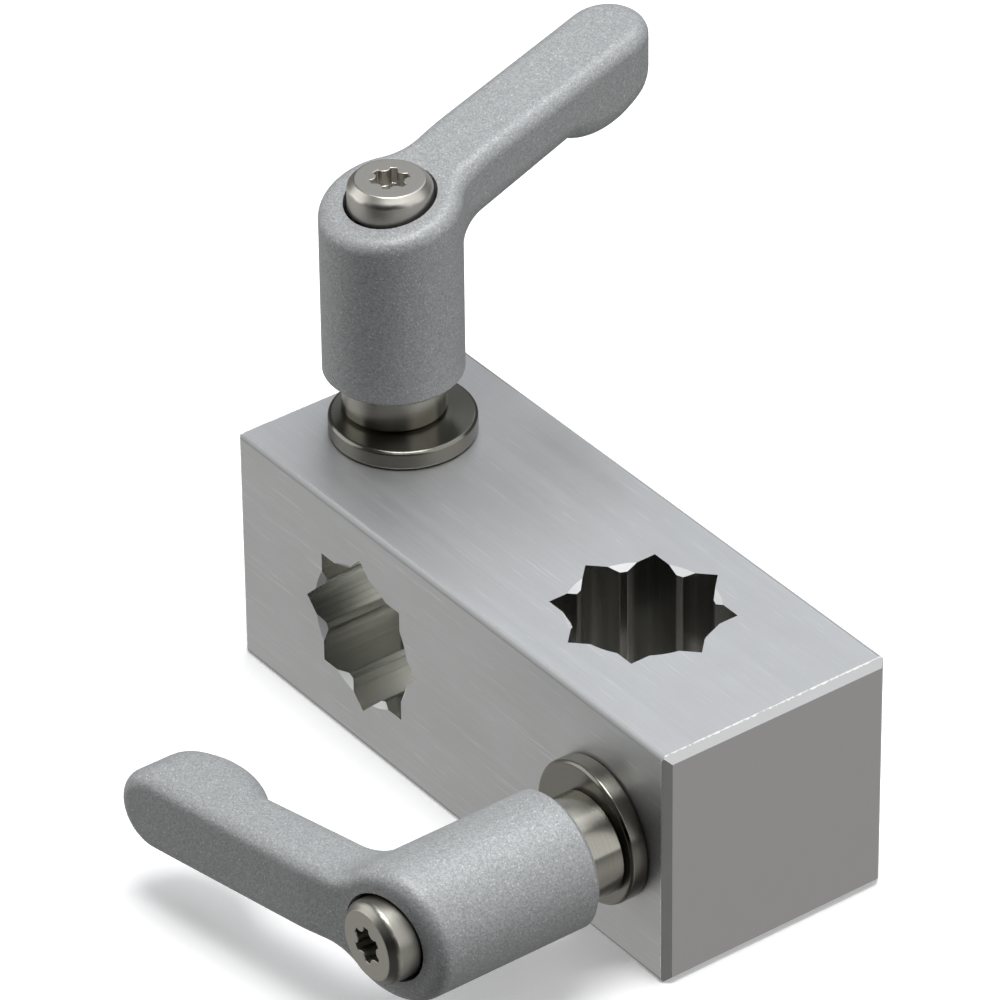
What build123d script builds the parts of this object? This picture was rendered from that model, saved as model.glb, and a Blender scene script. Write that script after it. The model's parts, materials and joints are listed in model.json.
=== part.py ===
"""Sensor bracket: a cross clamp block for two rods, with two adjustable clamping levers.

A square bar has two crossed star shaped through holes. Beside each hole a lever stands on
the bar. It draws a notched bolt up against the rod that lies in the hole.

Frame: X runs along the bar, Z is up, and the origin is the middle of the bar's underside.
Lengths are millimetres and angles are degrees.
"""
from build123d import *
from math import cos, radians, sin, tan
import os

os.makedirs("parts", exist_ok=True)

# Square bar
bar_size = 25.0
bar_length = 65.0
bar_edge_radius = 0.5
bar_end_chamfer = 0.7

# Star holes for a square rod or a round rod
rod_square = 12.0
rod_fit = 0.03
land_radius = 6.67
mouth_chamfer = 0.55
hole_from_end = 19.4

# Cross bores and the draw bolts in them
bolt_from_hole = 10.1
bolt_radius = 5.45
bore_fit = 0.05
bore_floor = 2.0
bolt_sink = 1.5
bolt_bottom_gap = 1.2
bolt_edge_chamfer = 0.3

# Stud of the lever, eccentric to the bolt so that it clears the rod
stud_offset = 1.3
stud_radius = 2.5
stud_fit = 0.06
stud_reach = 9.5
tapped_depth = 9.0
stud_tip_chamfer = 0.4

# Disc under the lever
disc_radius = 7.0
disc_height = 2.0
disc_chamfer = 0.25
spigot_height = 0.8
disc_hole_fit = 0.3

# Insert with its collar and its serrated head
seat_gap = 0.05
collar_radius = 4.95
collar_chamfer = 0.3
collar_height = 7.2
tooth_count = 20
tooth_depth = 0.55
tooth_half_gap = 0.6
serration_length = 3.0
serration_fit = 0.07

# Handle hub
hub_radius = 6.65
hub_bottom = 6.0
hub_bottom_chamfer = 0.5
hub_top_at_axis = 24.9
hub_top_angle = 12.5
hub_bore_fit = 0.1
web_height = 1.5
counterbore_radius = 4.35

# Handle arm, measured along the arm from the hub's axis
arm_reach = 33.6
arm_top_bend = 10.0
arm_top_bend_round = 25.0
arm_top_angle = 7.9
arm_neck_width = 7.6
arm_tip_width = 8.1
arm_depth_at_axis = 6.7
arm_underside_angle = 10.7
nose_reach = 20.9
nose_run = 4.9
nose_drop = 1.3
nose_root_round = 0.4
tip_overrun = 1.2
tip_edge_height = 2.55
belly_round = 2.4
root_round = 5.0
ridge_round = 1.4

# Retaining screw
head_radius = 4.0
head_height = 3.2
head_chamfer = 0.7
head_above_bar = 26.85
shank_radius = 2.5
screw_thread_radius = 2.0
screw_thread_fit = 0.05
screw_thread_length = 6.0
screw_hole_depth = 7.0
recess_radius = 1.8
recess_core_radius = 1.3
recess_flank_radius = 0.68
recess_depth = 1.6
web_hole_fit = 0.3

# Return spring
wire_radius = 0.45
spring_radius = 3.35
spring_turns = 3
wire_sides = 6
spring_end_gap = 0.05

# Turned directions of the two arms, seen from outside, from the bar's long axis
top_arm_angle = 100.9
side_arm_angle = 183.8

# How edges and faces are picked
rim_tolerance = 0.01
flat_tolerance = 0.01
ridge_angle = 25.8

# Sizes that follow from those above
bar_middle = bar_size / 2
hole_at = bar_length / 2 - hole_from_end
bore_at = hole_at + bolt_from_hole
stud_at = bore_at + stud_offset
bore_radius = bolt_radius + bore_fit
bore_depth = bar_size - bore_floor
bolt_length = bore_depth - bolt_sink - bolt_bottom_gap
broach_side = rod_square + 2 * rod_fit
collar_bottom = disc_height + seat_gap
insert_top = collar_bottom + collar_height + serration_length
web_bottom = insert_top + seat_gap
web_top = web_bottom + web_height
head_bottom = head_above_bar - head_height
hub_bore_radius = collar_radius + hub_bore_fit


def lever_seat(place):
    """The plane on the bar's face under a lever, with x along the lever's arm."""
    if place == "top":
        turned = radians(top_arm_angle)
        return Plane(
            origin=(-stud_at, 0, bar_size),
            x_dir=(cos(turned), sin(turned), 0),
            z_dir=(0, 0, 1),
        )
    turned = radians(side_arm_angle)
    return Plane(
        origin=(stud_at, -bar_middle, bar_middle),
        x_dir=(cos(turned), 0, sin(turned)),
        z_dir=(0, -1, 0),
    )


def bore_mouth(place):
    """The plane on the same face at the cross bore, with x pointing away from the rod."""
    if place == "top":
        return Plane(origin=(-bore_at, 0, bar_size), x_dir=(-1, 0, 0), z_dir=(0, 0, 1))
    return Plane(origin=(bore_at, -bar_middle, bar_middle), x_dir=(1, 0, 0), z_dir=(0, -1, 0))


def star_mouth(place):
    """The plane on the face where the rod enters that this lever clamps."""
    if place == "top":
        return Plane(origin=(-hole_at, -bar_middle, bar_middle), x_dir=(1, 0, 0), z_dir=(0, -1, 0))
    return Plane(origin=(hole_at, 0, bar_size), x_dir=(1, 0, 0), z_dir=(0, 0, 1))


def lengthwise(seat):
    """The plane through a lever's axis and its arm, with y along the axis."""
    return Plane(origin=seat.origin, x_dir=seat.x_dir, z_dir=-seat.y_dir)


def seen_from_back(seat):
    """The same plane turned half round, so that a cylinder's seam lies away from the arm."""
    return Plane(origin=seat.origin, x_dir=-seat.x_dir, z_dir=seat.z_dir)


def star_outline():
    """Two crossed squares over a round bore: eight notches with narrow lands between."""
    Circle(land_radius)
    Rectangle(broach_side, broach_side)
    Rectangle(broach_side, broach_side, rotation=45)


def make_block():
    """Solid bar with its two star holes and its two blind cross bores."""
    with BuildPart() as block:
        with BuildSketch(Plane.YZ.offset(-bar_length / 2)) as bar_section:
            with Locations((0, bar_middle)):
                Rectangle(bar_size, bar_size)
        extrude(amount=bar_length)
        end_edges = block.faces().filter_by(Axis.X).edges()
        chamfer(end_edges, bar_end_chamfer)
        fillet(block.edges().filter_by(Axis.X), bar_edge_radius)
        for place in ("top", "side"):
            near_mouth = star_mouth(place)
            far_mouth = Plane(
                origin=near_mouth.offset(-bar_size).origin,
                x_dir=near_mouth.x_dir,
                z_dir=-near_mouth.z_dir,
            )
            with BuildSketch(near_mouth) as star:
                star_outline()
            extrude(amount=-bar_size, mode=Mode.SUBTRACT)
            for mouth in (near_mouth, far_mouth):
                with Locations(mouth):
                    CounterSinkHole(land_radius, land_radius + mouth_chamfer, bar_middle, 90)
            with Locations(bore_mouth(place)):
                Hole(bore_radius, bore_depth)
    return block.part


def make_draw_bolt(place):
    """Round bolt in the cross bore, notched by the rod's hole and tapped off centre."""
    mouth = bore_mouth(place)
    with BuildPart() as draw_bolt:
        with BuildSketch(mouth.offset(-bolt_sink)) as bolt_section:
            Circle(bolt_radius)
        extrude(amount=-bolt_length)
        chamfer(draw_bolt.edges().filter_by(GeomType.CIRCLE), bolt_edge_chamfer)
        with BuildSketch(star_mouth(place)) as rod_hole:
            star_outline()
        extrude(amount=-bar_size, mode=Mode.SUBTRACT)
        with Locations(lever_seat(place).offset(-bolt_sink)):
            Hole(stud_radius + stud_fit, tapped_depth)
    return draw_bolt.part


def make_disc(place):
    """Turned disc with a spigot in the bore's mouth and an off centre hole for the stud."""
    mouth = bore_mouth(place)
    with BuildPart() as disc:
        with BuildSketch(mouth) as plate:
            Circle(disc_radius)
        extrude(amount=disc_height)
        chamfer(disc.edges().filter_by(GeomType.CIRCLE), disc_chamfer)
        with BuildSketch(mouth) as spigot:
            Circle(bolt_radius)
        extrude(amount=-spigot_height)
        with Locations(lever_seat(place).offset(disc_height)):
            Hole(stud_radius + disc_hole_fit)
    return disc.part


def height_on(seat, edge):
    """Height of an edge's middle above the seat, along the lever's axis."""
    return seat.to_local_coords(edge.center()).Z


def rims(piece, seat, height):
    """Round edges of a piece at one height above the seat."""
    circles = piece.edges().filter_by(GeomType.CIRCLE)
    return circles.filter_by(lambda edge: abs(height_on(seat, edge) - height) < rim_tolerance)


def hexalobular_recess():
    """Six lobes with hollow flanks between them."""
    Circle(recess_radius)
    with PolarLocations(recess_core_radius + recess_flank_radius, 6):
        Circle(recess_flank_radius, mode=Mode.SUBTRACT)


def serration_outline():
    """Toothed outline of the insert's head: a circle with V notches round it."""
    notch_flare = 2 * tooth_half_gap
    with BuildSketch(mode=Mode.PRIVATE) as notch:
        Polygon(
            (collar_radius - tooth_depth, 0),
            (collar_radius + tooth_depth, notch_flare),
            (collar_radius + tooth_depth, -notch_flare),
            align=None,
        )
    Circle(collar_radius)
    with PolarLocations(0, tooth_count):
        add(notch.sketch, mode=Mode.SUBTRACT)


def make_insert(place):
    """Stainless insert: threaded stud, plain collar and the serrated head in the hub."""
    seat = lever_seat(place)
    with BuildPart() as insert:
        with BuildSketch(seat.offset(-stud_reach)) as stud:
            Circle(stud_radius)
        extrude(amount=stud_reach + collar_bottom)
        chamfer(rims(insert, seat, -stud_reach), stud_tip_chamfer)
        with BuildSketch(seat.offset(collar_bottom)) as collar:
            Circle(collar_radius)
        extrude(amount=collar_height)
        chamfer(rims(insert, seat, collar_bottom).sort_by(SortBy.RADIUS)[-1], collar_chamfer)
        with BuildSketch(seat.offset(collar_bottom + collar_height)) as serration:
            serration_outline()
        extrude(amount=serration_length)
        with Locations(seat.offset(insert_top)):
            Hole(screw_thread_radius + screw_thread_fit, screw_hole_depth)
    return insert.part


def make_screw(place):
    """Retaining screw: rounded head with a six lobed recess, shoulder and thread."""
    seat = lever_seat(place)
    with BuildPart() as screw:
        with BuildSketch(seat.offset(head_bottom)) as head:
            Circle(head_radius)
        extrude(amount=head_height)
        chamfer(rims(screw, seat, head_above_bar), head_chamfer)
        with BuildSketch(seat.offset(head_above_bar)) as recess:
            hexalobular_recess()
        extrude(amount=-recess_depth, mode=Mode.SUBTRACT)
        with BuildSketch(seat.offset(insert_top)) as shoulder:
            Circle(shank_radius)
        extrude(amount=head_bottom - insert_top)
        with BuildSketch(seat.offset(insert_top)) as thread:
            Circle(screw_thread_radius)
        extrude(amount=-screw_thread_length)
    return screw.part


def make_spring(place):
    """Compression spring between the hub's web and the screw's head."""
    seat = lever_seat(place)
    foot = seat.offset(web_top + wire_radius + spring_end_gap)
    rise = head_bottom - web_top - 2 * (wire_radius + spring_end_gap)
    with BuildPart() as spring:
        with BuildLine() as coil:
            Helix(
                rise / spring_turns,
                rise,
                spring_radius,
                center=foot.origin,
                direction=seat.z_dir,
            )
        with BuildSketch(Plane(origin=coil.line @ 0, z_dir=coil.line % 0)) as wire:
            RegularPolygon(wire_radius, wire_sides)
        sweep(is_frenet=True)
    return spring.part


def slope_rise(run, angle):
    """Rise of a line over a run, at an angle to the bar's face."""
    return run * tan(radians(angle))


def corner(sketch, spot):
    """The corner of a sketch at a given spot."""
    return sketch.vertices().sort_by_distance(spot)[0]


def arm_side_outline():
    """Arm seen from the side: rising top, thin underside, and a nose before the tip."""
    far = arm_reach + tip_overrun
    top_bend = (arm_top_bend, hub_top_at_axis + slope_rise(arm_top_bend, hub_top_angle))
    top_end = (far, top_bend[1] + slope_rise(far - arm_top_bend, arm_top_angle))
    root = (0, hub_top_at_axis - arm_depth_at_axis)
    nose_root = (nose_reach, root[1] + slope_rise(nose_reach, arm_underside_angle))
    nose_low = (nose_reach + nose_run, nose_root[1] - nose_drop)
    tip_low = (far, top_end[1] - tip_edge_height)
    with BuildLine() as outline:
        Polyline((0, hub_top_at_axis), top_bend, top_end, tip_low)
        ThreePointArc(tip_low, nose_low, nose_root)
        Polyline(nose_root, root, (0, hub_top_at_axis))
    return outline.edges(), top_bend, nose_root


def arm_plan_outline():
    """Arm seen from above: two slightly spreading sides and a round end."""
    neck = arm_neck_width / 2
    tip = arm_tip_width / 2
    with BuildLine() as outline:
        Line((0, -neck), (0, neck))
        Line((0, neck), (arm_reach - tip, tip))
        ThreePointArc((arm_reach - tip, tip), (arm_reach, 0), (arm_reach - tip, -tip))
        Line((arm_reach - tip, -tip), (0, -neck))
    return outline.edges()


def belly_edges(arm, seat):
    """Lower edges of the arm's walls, from the hub to the tip."""
    walls = arm.faces().filter_by(
        lambda face: abs(face.normal_at().dot(seat.z_dir)) < flat_tolerance
        and face.normal_at().dot(seat.x_dir) > flat_tolerance - 1
    )
    return walls.edges().filter_by(
        lambda edge: abs(edge.tangent_at(0.5).dot(seat.z_dir)) < 1 - flat_tolerance
        and height_on(seat, edge) < hub_top_at_axis
    )


def root_edges(handle, seat):
    """Edges where the arm grows out of the hub's round wall, below the top."""

    def on_hub_wall(edge):
        spots = [seat.to_local_coords(edge.position_at(share)) for share in (0, 0.5, 1)]
        at_wall = all(
            abs(Vector(spot.X, spot.Y).length - hub_radius) < rim_tolerance for spot in spots
        )
        return at_wall and spots[1].X > 0 and hub_bottom < spots[1].Z < hub_top_at_axis

    return handle.edges().filter_by(on_hub_wall)


def ridge_edges(handle, seat):
    """Outline of the handle's top, without the lines across it."""
    facing = cos(radians(ridge_angle))
    top = handle.faces().filter_by(lambda face: face.normal_at().dot(seat.z_dir) > facing)
    edges = [edge for face in top for edge in face.edges()]
    return ShapeList(edge for edge in edges if sum(edge.is_same(other) for other in edges) == 1)


def make_handle(place):
    """Die cast handle: hub with a sloping top, cranked arm with a nose under its tip."""
    seat = lever_seat(place)
    profile = lengthwise(seat)
    beyond = hub_radius + hub_bottom
    above_all = hub_top_at_axis + arm_reach
    with BuildPart() as arm:
        with BuildSketch(profile) as side:
            side_edges, top_bend, nose_root = arm_side_outline()
            make_face(side_edges)
            fillet(corner(side, top_bend), arm_top_bend_round)
            fillet(corner(side, nose_root), nose_root_round)
        extrude(amount=arm_tip_width, both=True)
        with BuildSketch(seat) as plan:
            make_face(arm_plan_outline())
        extrude(amount=above_all, mode=Mode.INTERSECT)
        fillet(belly_edges(arm, seat), belly_round)
    with BuildPart() as handle:
        with BuildSketch(seen_from_back(seat).offset(hub_bottom)) as hub:
            Circle(hub_radius)
        extrude(amount=above_all)
        with BuildSketch(profile) as sky:
            with BuildLine():
                Polyline(
                    (-beyond, hub_top_at_axis - slope_rise(beyond, hub_top_angle)),
                    (beyond, hub_top_at_axis + slope_rise(beyond, hub_top_angle)),
                    (beyond, 2 * above_all),
                    (-beyond, 2 * above_all),
                    close=True,
                )
            make_face()
        extrude(amount=beyond, both=True, mode=Mode.SUBTRACT)
        add(arm.part)
        fillet(root_edges(handle, seat), root_round)
        fillet(ridge_edges(handle, seat), ridge_round)
        chamfer(rims(handle, seat, hub_bottom), hub_bottom_chamfer)
        with BuildSketch(seat.offset(hub_bottom)) as collar_bore:
            Circle(hub_bore_radius)
        extrude(amount=collar_bottom + collar_height + seat_gap - hub_bottom, mode=Mode.SUBTRACT)
        with BuildSketch(seat.offset(collar_bottom + collar_height + seat_gap)) as teeth:
            serration_outline()
            offset(amount=serration_fit, kind=Kind.INTERSECTION)
        extrude(amount=serration_length, mode=Mode.SUBTRACT)
        with BuildSketch(seat.offset(web_bottom)) as web_hole:
            Circle(shank_radius + web_hole_fit)
        extrude(amount=web_height, mode=Mode.SUBTRACT)
        with BuildSketch(seat.offset(web_top)) as counterbore:
            Circle(counterbore_radius)
        extrude(amount=above_all, mode=Mode.SUBTRACT)
    return handle.part


block = make_block()
block.label = "clamp_block"
export_step(block, "parts/clamp_block.step")

makers = {
    "draw_bolt": make_draw_bolt,
    "disc": make_disc,
    "insert": make_insert,
    "handle": make_handle,
    "retaining_screw": make_screw,
    "return_spring": make_spring,
}
for place in ("top", "side"):
    for piece_name, make_piece in makers.items():
        piece = make_piece(place)
        piece.label = f"{place}_{piece_name}"
        export_step(piece, f"parts/{piece.label}.step")
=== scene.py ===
"""Looks of the sensor bracket: finishes, fine detail, floor, light and camera.

Everything is in metres in the frame of the CAD part. Patterns are worked out in millimetres.
"""
import json
import math

import bmesh
import bpy
from mathutils import Euler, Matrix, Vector


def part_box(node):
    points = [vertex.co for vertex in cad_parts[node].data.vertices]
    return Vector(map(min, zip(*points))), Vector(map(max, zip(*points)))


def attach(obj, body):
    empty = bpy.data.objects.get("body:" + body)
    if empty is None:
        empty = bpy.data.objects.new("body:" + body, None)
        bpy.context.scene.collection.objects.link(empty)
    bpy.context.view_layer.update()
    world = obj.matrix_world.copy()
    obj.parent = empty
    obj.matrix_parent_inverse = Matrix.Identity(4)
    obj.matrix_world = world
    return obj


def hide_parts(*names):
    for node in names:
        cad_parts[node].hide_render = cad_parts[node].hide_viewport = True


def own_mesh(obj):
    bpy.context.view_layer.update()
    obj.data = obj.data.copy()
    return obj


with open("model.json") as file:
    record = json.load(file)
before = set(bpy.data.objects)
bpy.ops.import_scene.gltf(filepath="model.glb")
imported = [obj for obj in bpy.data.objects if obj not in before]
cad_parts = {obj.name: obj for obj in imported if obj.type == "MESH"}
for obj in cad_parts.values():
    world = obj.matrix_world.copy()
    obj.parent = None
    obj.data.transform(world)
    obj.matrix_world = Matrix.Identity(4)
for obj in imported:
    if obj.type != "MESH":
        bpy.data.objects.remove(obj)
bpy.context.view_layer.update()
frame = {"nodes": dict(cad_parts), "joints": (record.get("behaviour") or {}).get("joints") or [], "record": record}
scene = bpy.context.scene
joints = {joint["name"]: joint for joint in frame["joints"]}
mounts = {mount["name"]: mount for mount in frame["record"]["mounts"]}
block_low, block_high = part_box("clamp_block")

PER_MM = 1000.0

# The bar, in millimetres. From a rod hole's axis, HOLE_REACH takes in the whole mouth, and
# LAND_REACH only the lands between the points of the star
BAR = (block_high.z - block_low.z) * PER_MM
BAR_HALF_LENGTH = block_high.x * PER_MM
END_CHAMFER = 0.7
HOLE_AT = mounts["vertical_rod_hole"]["pos_m"][0] * PER_MM
HOLE_REACH = 8.9
LAND_REACH = 6.72

# A lever, in millimetres, with its heights above the bar's face. The spring keeps a small gap
# from the web in the handle and from the screw's head
STUD_OFFSET = 1.3
WEB_TOP = 13.8
HEAD_UNDERSIDE = 23.65
SPRING_RADIUS = 3.35
SPRING_WIRE = 0.45
SPRING_TURNS = 3.0
SPRING_GAP = 0.05
SPRING_FOOT = WEB_TOP + SPRING_GAP + SPRING_WIRE
SPRING_TOP = HEAD_UNDERSIDE - SPRING_GAP - SPRING_WIRE

# The rounding of edges, in millimetres. The edges of a screw's recess lie nearer to its axis
# than its rim does, and get only a share of the rounding
DISC_ROUNDING = 0.12
SCREW_ROUNDING = 0.42
SCREW_RIM_FROM = 3.6
SCREW_RECESS_SHARE = 0.3
# Faces that meet at less than the first angle become one, and edges sharper than the second
# are rounded
FLAT_ANGLE = math.radians(0.5)
SHARP_ANGLE = math.radians(30)

# A face's normal has less than the first of these along an axis where it is a wall beside that
# axis, and more than the second where it lies square across it. A rounded long edge has more
# than the third both sideways and up or down
WALL_FACING = 0.3
FLAT_FACING = 0.95
EDGE_FACING = 0.05

# How rough the holes' walls are, and how wide the bright line at the ends gets, in millimetres. That line is
# rubbed metal painted bright as a highlight
HOLE_ROUGHNESS = 0.16
RUBBED_HIGHLIGHT_WIDTH = 0.13

# Each screw's colours, in its turning marks and between them. In the photograph the two differ: the same steel is
# painted lighter on the top screw as painted light, and darker on the side screw as painted shade
SCREW_LIGHT_AND_SHADE_TINTS = {"top": ("#b1aea7", "#c3c0b9"), "side": ("#918f87", "#a6a49c")}

# How bright the floor is, and the room, low and high, and the soft cards that stand round it:
# the way to each, where it starts and is full as a cosine, and what it adds
FLOOR_GLOW = 0.2
ROOM_LOW = 0.17
ROOM_HIGH = 0.1
ROOM_CARDS = (
    ((-0.22, 0.49, 0.84), 0.8, 0.98, 1.53),
    ((-0.66, -0.49, -0.57), 0.6, 0.97, 0.47),
    ((0.66, 0.49, -0.57), 0.6, 0.97, 0.32),
    ((0.95, 0.0, -0.45), 0.8, 0.97, 0.41),
    ((0.66, -0.49, -0.57), 0.6, 0.97, 0.15),
    ((0.66, -0.49, -0.45), 0.3, 0.9, -0.24),
)

# Where each panel stands, its width and its power
PANELS = {
    "high_panel": ((0.05, -0.02, 0.7), 0.35, 4.2),
    "left_panel": ((-0.6, -0.6, 0.35), 0.8, 3.27),
    "right_panel": ((0.6, 0.4, 0.5), 1.0, 3.7),
}
PANELS_LOOK_AT = Vector((0, 0, 0.02))

# The photograph's view, fitted to the bar's edges: focal length, place and turn in degrees
CAMERA_LENS = 278.91
CAMERA_AT = (0.45974, -0.34721, 0.42908)
CAMERA_TURNED = (55.26888, 0.56292, 53.03839)

# The sockets of a Mix node for what lies below and what is laid over it
MIX_SOCKETS = {"FLOAT": (2, 3), "RGBA": (6, 7)}


def colour(hex_value):
    """An sRGB hex colour as linear red, green, blue and alpha."""
    channels = [int(hex_value[i:i + 2], 16) / 255 for i in (1, 3, 5)]
    linear = [c / 12.92 if c <= 0.04045 else ((c + 0.055) / 1.055) ** 2.4 for c in channels]
    return (*linear, 1.0)


def fill(tree, target, sockets):
    """Sets or links a node's sockets. A node given as a value stands for its first output in use."""
    for key, value in sockets.items():
        if isinstance(value, bpy.types.Node):
            value = next(output for output in value.outputs if output.enabled)
        if isinstance(value, bpy.types.NodeSocket):
            tree.links.new(value, target.inputs[key])
        else:
            target.inputs[key].default_value = value


def node(tree, kind, *values, sockets=None, **settings):
    """Adds a node with its settings. The values go to its first sockets, in order."""
    made = tree.nodes.new(kind)
    for name, value in settings.items():
        setattr(made, name, value)
    fill(tree, made, {**dict(enumerate(values)), **(sockets or {})})
    return made


def layered(tree, data_type, lowest, *layers):
    """A number or a colour with others laid over it in turn, each where its mask is 1."""
    below, above = MIX_SOCKETS[data_type]
    for mask, laid in layers:
        lowest = node(tree, "ShaderNodeMix", data_type=data_type,
                      sockets={0: mask, below: lowest, above: laid})
    return lowest


def distance(tree, *parts):
    """How long the vector with these parts is."""
    joined = node(tree, "ShaderNodeCombineXYZ", *parts)
    return node(tree, "ShaderNodeVectorMath", joined, operation="LENGTH")


def stretched_noise(tree, millimetres, per_mm, detail, roughness=0.5):
    """Noise with its own number of patches per millimetre along X, Y and Z."""
    stretched = node(tree, "ShaderNodeMapping", millimetres, sockets={"Scale": per_mm})
    return node(tree, "ShaderNodeTexNoise", stretched,
                sockets={"Scale": 1.0, "Detail": detail, "Roughness": roughness})


def new_material(name, metallic, roughness):
    """An empty material with its tree and its shader."""
    material = bpy.data.materials.new(name)
    material.use_nodes = True
    tree = material.node_tree
    shader = tree.nodes["Principled BSDF"]
    fill(tree, shader, {"Metallic": metallic, "Roughness": roughness})
    return material, tree, shader


def in_millimetres(tree):
    """Where a point lies on the part, in millimetres."""
    place = node(tree, "ShaderNodeTexCoord").outputs["Object"]
    return node(tree, "ShaderNodeMapping", place, sockets={"Scale": (PER_MM, PER_MM, PER_MM)})


def hole_masks(tree, spot, facing, above_middle):
    """Masks for the walls of each rod hole, and for the lands and the cut mouths of both. The mouths are bright
    metal, painted brighter still as glints.

    How far a point is from a hole's axis, and how its face is turned to it, tells them apart.
    """
    walls = []
    lands = []
    mouths_with_painted_glints = []
    for hole_at, across, along in ((HOLE_AT, spot["Y"], "Z"), (-HOLE_AT, above_middle, "Y")):
        lengthwise = node(tree, "ShaderNodeMath", spot["X"], hole_at, operation="SUBTRACT")
        reach = distance(tree, lengthwise, across)
        near = node(tree, "ShaderNodeMath", reach, HOLE_REACH, operation="LESS_THAN")
        turned = node(tree, "ShaderNodeMath", facing[along], operation="ABSOLUTE")
        wall = node(tree, "ShaderNodeMath", turned, WALL_FACING, operation="LESS_THAN")
        flat = node(tree, "ShaderNodeMath", turned, FLAT_FACING, operation="GREATER_THAN")
        not_wall = node(tree, "ShaderNodeMath", 1.0, wall, operation="SUBTRACT")
        slanted = node(tree, "ShaderNodeMath", not_wall, flat, operation="SUBTRACT")
        walls.append(node(tree, "ShaderNodeMath", near, wall, operation="MULTIPLY"))
        lands.append(node(tree, "ShaderNodeMath", reach, LAND_REACH, operation="LESS_THAN"))
        mouths_with_painted_glints.append(node(tree, "ShaderNodeMath", near, slanted, operation="MULTIPLY"))
    land = node(tree, "ShaderNodeMath", *lands, operation="MAXIMUM")
    mouth_with_painted_glints = node(tree, "ShaderNodeMath", *mouths_with_painted_glints, operation="MAXIMUM")
    return walls, land, mouth_with_painted_glints


def rubbed_edge_highlight(tree, millimetres, spot, above_middle):
    """A mask for the ragged line where the end's chamfer meets a long face: rubbed metal, painted bright as a
    highlight.
    """
    from_middle = node(tree, "ShaderNodeMath", spot["X"], operation="ABSOLUTE")
    from_chamfer = node(tree, "ShaderNodeMath", BAR_HALF_LENGTH - END_CHAMFER, from_middle,
                        operation="SUBTRACT")
    aside = node(tree, "ShaderNodeMath", spot["Y"], operation="ABSOLUTE")
    up_or_down = node(tree, "ShaderNodeMath", above_middle, operation="ABSOLUTE")
    outermost = node(tree, "ShaderNodeMath", aside, up_or_down, operation="MAXIMUM")
    below_face = node(tree, "ShaderNodeMath", BAR / 2, outermost, operation="SUBTRACT")
    uneven = stretched_noise(tree, millimetres, (1.7, 1.7, 1.7), 3.0, 0.7)
    ragged = node(tree, "ShaderNodeMapRange", uneven, 0.36, 0.62, 0.0, RUBBED_HIGHLIGHT_WIDTH)
    from_line = distance(tree, from_chamfer, below_face)
    return node(tree, "ShaderNodeMath", from_line, ragged, operation="LESS_THAN")


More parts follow.
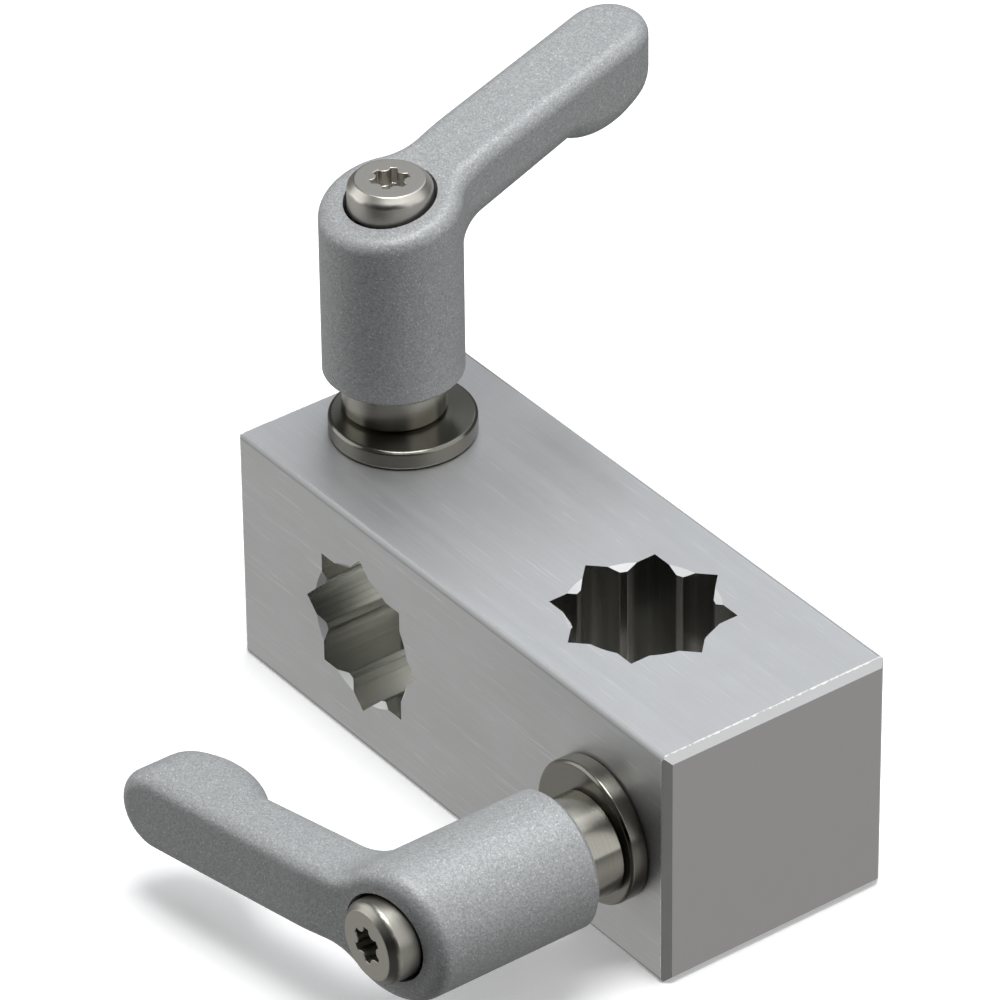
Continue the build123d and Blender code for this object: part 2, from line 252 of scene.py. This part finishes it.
def brushed_extruded_aluminium():
    """Bare aluminium bar, extruded and brushed lengthwise, with broached holes.

    To the eye it is a light grey metal with faint lines and short scratches along the bar, a plain
    sawn end, crisp facets in the holes, and bright cut edges. The upright hole's walls are painted
    dark as shade and the lying hole's light, the rounded long edges are painted darker as shade, and
    the upright chamfers, the cut mouths and a ragged line at the ends are painted bright as highlights.
    """
    material, tree, shader = new_material("brushed_extruded_aluminium", 1.0, 0.4)
    millimetres = in_millimetres(tree)
    normal = node(tree, "ShaderNodeTexCoord").outputs["Normal"]
    spot = node(tree, "ShaderNodeSeparateXYZ", millimetres).outputs
    facing = node(tree, "ShaderNodeSeparateXYZ", normal).outputs
    above_middle = node(tree, "ShaderNodeMath", spot["Z"], BAR / 2, operation="SUBTRACT")
    # The cut mouths are bright metal, painted brighter still as glints
    walls, land, mouth_with_painted_glints = hole_masks(tree, spot, facing, above_middle)
    inside = node(tree, "ShaderNodeMath", *walls, operation="MAXIMUM")
    # A ragged line at the ends: rubbed metal painted bright as a highlight
    rubbed_highlight = rubbed_edge_highlight(tree, millimetres, spot, above_middle)
    endwards = node(tree, "ShaderNodeMath", facing["X"], operation="ABSOLUTE")
    end = node(tree, "ShaderNodeMath", endwards, FLAT_FACING, operation="GREATER_THAN")
    chamfer = node(tree, "ShaderNodeMath", endwards, WALL_FACING, operation="GREATER_THAN")
    updown = node(tree, "ShaderNodeMath", facing["Z"], operation="ABSOLUTE")
    upright = node(tree, "ShaderNodeMath", updown, WALL_FACING, operation="LESS_THAN")
    sidewards = node(tree, "ShaderNodeMath", facing["Y"], operation="ABSOLUTE")
    # The rounded long edges are rough, and are painted darker as painted shade
    leaning = [node(tree, "ShaderNodeMath", part, EDGE_FACING, operation="GREATER_THAN")
               for part in (updown, sidewards)]
    rough_shaded_long_edge = node(tree, "ShaderNodeMath", *leaning, operation="MULTIPLY")

    # Brush lines 0.3 mm apart, as coarse as the render can show, and scratches 6 mm long
    lines = stretched_noise(tree, millimetres, (0.05, 3.6, 3.6), 4.0, 0.65)
    bands = stretched_noise(tree, millimetres, (0.02, 0.5, 0.5), 2.0)
    clouds = stretched_noise(tree, millimetres, (0.1, 0.14, 0.14), 3.0, 0.6)
    dashes = stretched_noise(tree, millimetres, (0.17, 5.0, 5.0), 1.0)
    scratches = node(tree, "ShaderNodeMapRange", dashes, 0.66, 0.74, 0.0, 1.0)
    # Saw grain of the ends, 0.3 mm, and broach streaks along the depth of each hole, 0.4 mm
    grain = stretched_noise(tree, millimetres, (3.0, 3.0, 3.0), 3.0, 0.7)
    upright_streaks = stretched_noise(tree, millimetres, (2.6, 2.6, 0.03), 3.0)
    lying_streaks = stretched_noise(tree, millimetres, (2.6, 0.03, 2.6), 3.0)
    streaks = layered(tree, "FLOAT", upright_streaks, (walls[1], lying_streaks))

    # Painted shade and light: the upright hole stands on the floor, so its walls are painted dark, and the lying
    # one is open to the light, so its walls are painted light. The lands are painted lighter than the walls in the
    # upright hole and darker in the lying one, as the light falls on them
    streak = node(tree, "ShaderNodeMapRange", streaks, 0.45, 0.75, 0.0, 0.5)
    upright_wall_painted_shade = layered(tree, "RGBA", colour("#b2b2af"), (land, colour("#dcdcda")),
                           (streak, colour("#d4d4d1")))
    lying_wall_painted_light = layered(tree, "RGBA", colour("#e8e8e4"), (land, colour("#bebeba")),
                         (streak, colour("#b4b4b0")))
    # Painted light: the upright chamfers at the ends are painted almost white, and the slanted ones a plain grey
    chamfer_painted_light = layered(tree, "RGBA", colour("#b9baba"), (upright, colour("#f4f5f5")))
    tone = node(tree, "ShaderNodeMapRange", lines, 0.3, 0.7, 0.0, 1.0)
    patch = node(tree, "ShaderNodeMapRange", clouds, 0.3, 0.7, 0.0, 0.5)
    faint = node(tree, "ShaderNodeMath", scratches, 0.3, operation="MULTIPLY")
    skin = layered(
        tree, "RGBA", colour("#c4c5c6"),
        (tone, colour("#cbcccd")),
        (patch, colour("#bdbdbd")),
        (faint, colour("#eceef0")),
        (rough_shaded_long_edge, colour("#b4b5b5")),
        (chamfer, chamfer_painted_light),
        (end, colour("#bbb9ba")),
        (walls[0], upright_wall_painted_shade),
        (walls[1], lying_wall_painted_light),
        (mouth_with_painted_glints, colour("#e2e3e3")),
        (rubbed_highlight, colour("#e8e8e6")),
    )
    brushed = node(tree, "ShaderNodeMapRange", bands, 0.3, 0.7, 0.45, 0.49)
    dull = layered(tree, "FLOAT", brushed, (rough_shaded_long_edge, 0.75), (inside, HOLE_ROUGHNESS))
    shallow = node(tree, "ShaderNodeMath", scratches, 0.5, operation="MULTIPLY")
    scored = node(tree, "ShaderNodeMath", lines, shallow, operation="ADD")
    relief = layered(tree, "FLOAT", scored, (end, grain), (inside, 0.5))
    bump = node(tree, "ShaderNodeBump",
                sockets={"Height": relief, "Strength": 0.4, "Distance": 0.00001})
    fill(tree, shader, {"Base Color": skin, "Roughness": dull, "Normal": bump})
    return material


def silver_powder_coat():
    """Die cast zinc under a silver textured powder coat.

    To the eye it is a satin silver grey, finely grainy all over, with sparse bright flakes.
    """
    material, tree, shader = new_material("silver_powder_coat", 0.2, 0.5)
    millimetres = in_millimetres(tree)
    # Grain of about 0.3 mm, and flakes 0.13 mm across, as coarse as the render can show
    pebble = node(tree, "ShaderNodeTexNoise", millimetres,
                  sockets={"Scale": 3.0, "Detail": 3.0, "Roughness": 0.6})
    flakes = node(tree, "ShaderNodeTexVoronoi", millimetres, sockets={"Scale": 8.0})
    chance = node(tree, "ShaderNodeSeparateColor", flakes.outputs["Color"]).outputs["Red"]
    sparkle = node(tree, "ShaderNodeMath", chance, 0.98, operation="GREATER_THAN")
    skin = layered(tree, "RGBA", colour("#898b8c"), (chance, colour("#a7a9aa")),
                   (sparkle, colour("#b9bbbb")))
    bump = node(tree, "ShaderNodeBump",
                sockets={"Height": pebble, "Strength": 0.6, "Distance": 0.00009})
    fill(tree, shader, {"Base Color": skin, "Normal": bump})
    return material


def turned_stainless_steel(name, centre, axis, tint, roughness, drawn_out):
    """Turned stainless steel with fine rings round the axis of its piece.

    To the eye it is a bright, slightly warm metal whose fine turning marks draw every highlight
    out across them, into wedges on a flat face and upright bands on a round one. The tint is
    the colour in the marks and between them, and drawn_out is how far they draw a highlight.
    """
    material, tree, shader = new_material(name, 1.0, roughness)
    normal = node(tree, "ShaderNodeTexCoord").outputs["Normal"]
    centred = node(tree, "ShaderNodeMapping", in_millimetres(tree),
                   sockets={"Location": tuple(-c for c in centre)})
    around = node(tree, "ShaderNodeVectorMath", axis, centred, operation="CROSS_PRODUCT")
    reach = node(tree, "ShaderNodeVectorMath", around, operation="LENGTH")
    height = node(tree, "ShaderNodeVectorMath", axis, centred, operation="DOT_PRODUCT")
    marks = node(tree, "ShaderNodeCombineXYZ", reach, height)
    # Turning marks, 0.12 mm apart
    rings = node(tree, "ShaderNodeTexNoise", marks,
                 sockets={"Scale": 8.0, "Detail": 2.0, "Roughness": 0.6})
    skin = layered(tree, "RGBA", colour(tint[0]), (rings, colour(tint[1])))
    bump = node(tree, "ShaderNodeBump",
                sockets={"Height": rings, "Strength": 0.35, "Distance": 0.00001})
    outwards = node(tree, "ShaderNodeVectorMath", around, normal, operation="CROSS_PRODUCT")
    tangent = node(tree, "ShaderNodeVectorTransform", outwards, vector_type="VECTOR",
                   convert_from="OBJECT", convert_to="WORLD")
    fill(tree, shader, {"Base Color": skin, "Normal": bump, "Tangent": tangent,
                        "Anisotropic": drawn_out})
    return material


def dress(name, material):
    """Gives a CAD node its material."""
    for slot in frame["nodes"][name].material_slots:
        slot.material = material


def in_service(piece, body, slot, *nodes):
    """Puts a new piece on its body, in place of the CAD nodes that it stands for."""
    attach(piece, body)
    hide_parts(*nodes)


def rounded_copy(name, body, slot, material, width, share_at):
    """A copy of a turned CAD node with its edges rounded off by a small bevel.

    share_at gives the share of the bevel's width that an edge gets, from its middle in mm.
    """
    shape = bmesh.new()
    shape.from_mesh(frame["nodes"][name].data)
    bmesh.ops.remove_doubles(shape, verts=shape.verts, dist=0.001 / PER_MM)
    bmesh.ops.dissolve_limit(
        shape, angle_limit=FLAT_ANGLE, verts=shape.verts, edges=shape.edges)
    weight = shape.edges.layers.float.new("bevel_weight_edge")
    for edge in shape.edges:
        if edge.calc_face_angle(0.0) > SHARP_ANGLE:
            middle = (edge.verts[0].co + edge.verts[1].co) * PER_MM / 2
            edge[weight] = share_at(middle)
    for face in shape.faces:
        face.smooth = True
    mesh = bpy.data.meshes.new(f"{name}_rounded")
    shape.to_mesh(mesh)
    shape.free()
    # The normals that come with the CAD's triangles don't fit the joined faces
    if "custom_normal" in mesh.attributes:
        mesh.attributes.remove(mesh.attributes["custom_normal"])
    mesh.materials.append(material)
    piece = bpy.data.objects.new(f"{name}_rounded", mesh)
    scene.collection.objects.link(piece)
    bevel = piece.modifiers.new("rounded_edges", "BEVEL")
    bevel.limit_method = "WEIGHT"
    bevel.width = width / PER_MM
    bevel.segments = 3
    bevel.harden_normals = True
    in_service(piece, body, slot, name)


def spring_wire_tree():
    """A tree that winds a round wire into an open compression spring and sets it in place."""
    tree = bpy.data.node_groups.new("return_spring", "GeometryNodeTree")
    for name, kind in (
        ("Coil Radius", "NodeSocketFloat"),
        ("Wire Radius", "NodeSocketFloat"),
        ("Turns", "NodeSocketFloat"),
        ("Height", "NodeSocketFloat"),
        ("Foot", "NodeSocketVector"),
        ("Turned", "NodeSocketVector"),
        ("Material", "NodeSocketMaterial"),
    ):
        tree.interface.new_socket(name=name, in_out="INPUT", socket_type=kind)
    tree.interface.new_socket(name="Geometry", in_out="OUTPUT", socket_type="NodeSocketGeometry")
    given = node(tree, "NodeGroupInput").outputs
    coil = node(tree, "GeometryNodeCurveSpiral", sockets={
        "Resolution": 40, "Rotations": given["Turns"], "Start Radius": given["Coil Radius"],
        "End Radius": given["Coil Radius"], "Height": given["Height"]})
    wire = node(tree, "GeometryNodeCurvePrimitiveCircle", mode="RADIUS",
                sockets={"Resolution": 14, "Radius": given["Wire Radius"]})
    wound = node(tree, "GeometryNodeCurveToMesh",
                 sockets={"Curve": coil, "Profile Curve": wire, "Fill Caps": True})
    smooth = node(tree, "GeometryNodeSetShadeSmooth", wound)
    placed = node(tree, "GeometryNodeTransform", smooth,
                  sockets={"Translation": given["Foot"], "Rotation": given["Turned"]})
    real = node(tree, "GeometryNodeRealizeInstances", placed)
    made = node(tree, "GeometryNodeSetMaterial", real, sockets={"Material": given["Material"]})
    node(tree, "NodeGroupOutput", made)
    return tree


def made_by_tree(name, tree, values):
    """A plain mesh object from a tree, with the tree's named inputs set."""
    piece = bpy.data.objects.new(name, bpy.data.meshes.new(name))
    scene.collection.objects.link(piece)
    modifier = piece.modifiers.new("made", "NODES")
    modifier.node_group = tree
    for item in tree.interface.items_tree:
        if item.in_out == "INPUT":
            modifier[item.identifier] = values[item.name]
    evaluated = piece.evaluated_get(bpy.context.evaluated_depsgraph_get())
    mesh = bpy.data.meshes.new_from_object(evaluated)
    piece.modifiers.clear()
    piece.data = mesh
    return piece


def finish_lever(place, screw_light_and_shade_tint, coat, spring_tree):
    """Finishes the pieces of the top or the side lever, with the disc and the bolt under it."""
    foot = Vector([part * PER_MM for part in joints[f"{place}_lever_turn"]["pos_m"]])
    axis = Vector(joints[f"{place}_handle_lift"]["axis"])
    # The disc and the bolt stand a little nearer to the bar's middle than the lever
    disc_foot = foot - Vector((math.copysign(STUD_OFFSET, foot.x), 0, 0))

    def height(spot):
        """How far a spot stands above the bar's face, in mm."""
        return (spot - foot).dot(axis)

    def from_axis(spot):
        """How far a spot is from the lever's axis, in mm."""
        return (spot - foot - axis * height(spot)).length

    dress(f"{place}_handle", coat)
    dress(f"{place}_draw_bolt", turned_stainless_steel(
        f"{place}_bolt_broached_steel", disc_foot, axis,
        tint=("#6b6a66", "#848380"), roughness=0.35, drawn_out=0.0))
    rounded_copy(
        f"{place}_disc", "clamp", "disc_steel",
        turned_stainless_steel(
            f"{place}_disc_turned_stainless", disc_foot, axis,
            tint=("#6d6b63", "#83817a"), roughness=0.25, drawn_out=0.8),
        DISC_ROUNDING, lambda spot: 1.0 if height(spot) > DISC_ROUNDING else 0.0)
    dress(f"{place}_insert", turned_stainless_steel(
        f"{place}_insert_turned_stainless", foot, axis,
        tint=("#8b8981", "#a3a097"), roughness=0.2, drawn_out=0.7))
    # The screw's tint is painted light on the top lever and painted shade on the side lever
    rounded_copy(
        f"{place}_retaining_screw", f"{place}_lever", "screw_steel",
        turned_stainless_steel(
            f"{place}_screw_tumbled_stainless", foot, axis,
            tint=screw_light_and_shade_tint, roughness=0.36, drawn_out=0.0),
        SCREW_ROUNDING,
        lambda spot: 1.0 if from_axis(spot) > SCREW_RIM_FROM else SCREW_RECESS_SHARE)
    spring = made_by_tree(f"{place}_spring_round_wire", spring_tree, {
        "Coil Radius": SPRING_RADIUS / PER_MM,
        "Wire Radius": SPRING_WIRE / PER_MM,
        "Turns": SPRING_TURNS,
        "Height": (SPRING_TOP - SPRING_FOOT) / PER_MM,
        "Foot": (foot + axis * SPRING_FOOT) / PER_MM,
        "Turned": axis.to_track_quat("Z", "Y").to_euler(),
        "Material": turned_stainless_steel(
            f"{place}_spring_drawn_wire", foot, axis,
            tint=("#8a8882", "#a09d97"), roughness=0.3, drawn_out=0.0),
    })
    in_service(spring, f"{place}_lever", "spring_steel", f"{place}_return_spring")
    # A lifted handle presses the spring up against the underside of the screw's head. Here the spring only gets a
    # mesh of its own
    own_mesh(spring)


def build_floor():
    """A wide pale floor under the bracket. It takes shadows, but no metal mirrors it."""
    mesh = bpy.data.meshes.new("studio_floor")
    shape = bmesh.new()
    bmesh.ops.create_circle(shape, cap_ends=True, segments=96, radius=6.0)
    shape.to_mesh(mesh)
    shape.free()
    floor = bpy.data.objects.new("studio_floor", mesh)
    scene.collection.objects.link(floor)
    floor.visible_diffuse = False
    floor.visible_glossy = False
    floor.visible_transmission = False
    floor.visible_shadow = False
    material, tree, shader = new_material("pale_studio_floor", 0.0, 0.9)
    fill(tree, shader, {"Base Color": colour("#f2f2f2"), "Emission Color": colour("#ffffff"),
                        "Emission Strength": FLOOR_GLOW})
    mesh.materials.append(material)


def build_room():
    """The room as the metals see it: dim, with soft bright cards round it and one dark one."""
    world = bpy.data.worlds.new("pale_room")
    scene.world = world
    world.use_nodes = True
    tree = world.node_tree
    towards = node(tree, "ShaderNodeTexCoord").outputs["Generated"]
    level = node(tree, "ShaderNodeSeparateXYZ", towards).outputs["Z"]
    total = node(tree, "ShaderNodeMapRange", level, -0.25, 0.6, ROOM_LOW, ROOM_HIGH,
                 interpolation_type="SMOOTHSTEP")
    for spot, start, full, strength in ROOM_CARDS:
        across = node(tree, "ShaderNodeVectorMath", towards, Vector(spot).normalized(),
                      operation="DOT_PRODUCT")
        card = node(tree, "ShaderNodeMapRange", across, start, full, 0.0, strength,
                    interpolation_type="SMOOTHSTEP")
        total = node(tree, "ShaderNodeMath", total, card, operation="ADD")
    # A little warmer below and cooler above
    tint = node(tree, "ShaderNodeMapRange", level, -0.4, 0.5, 0.0, 1.0)
    hue = layered(tree, "RGBA", colour("#fffdfb"), (tint, colour("#f8fbff")))
    fill(tree, tree.nodes["Background"], {"Color": hue, "Strength": total})


def build_lights():
    """Large soft panels over the bracket."""
    for name, (spot, size, power) in PANELS.items():
        light = bpy.data.lights.new(name, "AREA")
        light.shape = "SQUARE"
        light.size = size
        light.energy = power
        lamp = bpy.data.objects.new(name, light)
        lamp.location = spot
        lamp.rotation_euler = (PANELS_LOOK_AT - Vector(spot)).to_track_quat("-Z", "Y").to_euler()
        lamp.visible_camera = False
        scene.collection.objects.link(lamp)


def build_camera():
    """The photograph's view: a long lens from above the near right corner."""
    camera = bpy.data.cameras.new("camera")
    camera.sensor_fit = "HORIZONTAL"
    camera.sensor_width = 36.0
    camera.lens = CAMERA_LENS
    eye = bpy.data.objects.new("camera", camera)
    eye.location = CAMERA_AT
    eye.rotation_euler = Euler([math.radians(angle) for angle in CAMERA_TURNED])
    scene.collection.objects.link(eye)
    scene.camera = eye


scene.view_settings.view_transform = "Standard"

dress("clamp_block", brushed_extruded_aluminium())
coat = silver_powder_coat()
spring_tree = spring_wire_tree()
for place, screw_light_and_shade_tint in SCREW_LIGHT_AND_SHADE_TINTS.items():
    finish_lever(place, screw_light_and_shade_tint, coat, spring_tree)
build_floor()
build_room()
build_lights()
build_camera()
